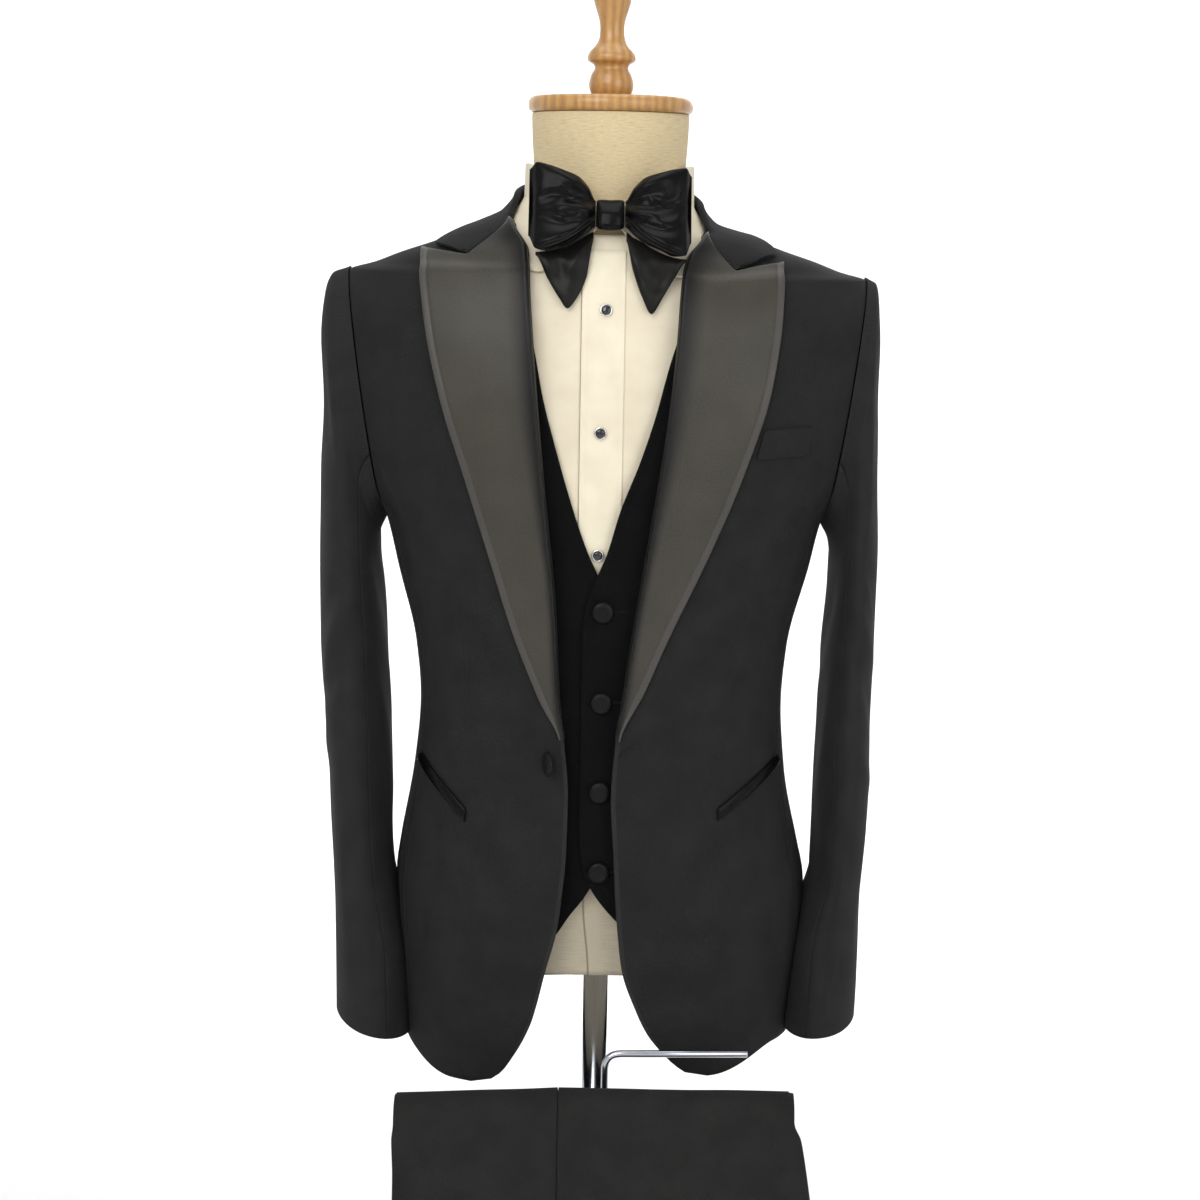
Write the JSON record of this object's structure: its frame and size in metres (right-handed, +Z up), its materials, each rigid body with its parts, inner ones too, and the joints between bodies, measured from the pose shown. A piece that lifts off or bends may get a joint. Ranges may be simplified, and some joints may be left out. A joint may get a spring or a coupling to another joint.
{
  "type": "tuxedo on a dress form",
  "caption": "Dinner suit with satin peak lapels, waistcoat, dress shirt and bow tie worn by a limbless dress form, trousers folded over its stand's rail.",
  "frame": {"origin": "centre of the stand's base on the floor", "axes": "+Z up, the wearer faces -Y, +X is the wearer's left"},
  "size_m": [0.4883, 0.4, 1.679],
  "materials": {
    "wool": "black barathea wool, matt",
    "satin": "black duchesse satin, soft sheen",
    "gloss_satin": "bright black satin",
    "cotton": "ivory cotton poplin",
    "linen": "natural slub linen",
    "wood": "turned beech, clear satin lacquer",
    "chrome": "polished chrome plate",
    "stud": "polished black face in a silver rim"
  },
  "bodies": {
    "root": {"bow_knot": "gloss_satin", "bow_tail_left": "gloss_satin", "bow_tail_right": "gloss_satin", "bow_wing_left": "gloss_satin", "bow_wing_right": "gloss_satin", "breast_welt": "wool", "finial": "wood", "form_torso": "linen", "free_arm": "chrome", "hip_welt_left": "satin", "hip_welt_right": "satin", "jacket_back_left": "wool", "jacket_back_right": "wool", "jacket_button": "satin", "jacket_collar": "wool", "jacket_front_left": "wool", "jacket_front_right": "wool", "jacket_side_left": "wool", "jacket_side_right": "wool", "lapel_left": "satin", "lapel_right": "satin", "neck_cap": "wood", "pole": "chrome", "pole_foot": "chrome", "rail_clamp": "chrome", "shirt_back": "cotton", "shirt_collar": "cotton", "shirt_front_left": "cotton", "shirt_front_right": "cotton", "shirt_placket": "cotton", "shirt_stud_1": "stud", "shirt_stud_2": "stud", "shirt_stud_3": "stud", "sleeve_button_left_1": "satin", "sleeve_button_left_2": "satin", "sleeve_button_left_3": "satin", "sleeve_button_left_4": "satin", "sleeve_button_right_1": "satin", "sleeve_button_right_2": "satin", "sleeve_button_right_3": "satin", "sleeve_button_right_4": "satin", "sleeve_top_left": "wool", "sleeve_top_right": "wool", "sleeve_under_left": "wool", "sleeve_under_right": "wool", "stand_base": "chrome", "trouser_back_right": "wool", "trouser_front_right": "wool", "trouser_layers": "wool", "trouser_rail": "chrome", "trouser_waistband": "wool", "waistcoat_back": "gloss_satin", "waistcoat_button_1": "satin", "waistcoat_button_2": "satin", "waistcoat_button_3": "satin", "waistcoat_button_4": "satin", "waistcoat_front_left": "wool", "waistcoat_front_right": "wool"}
  },
  "joints": []
}
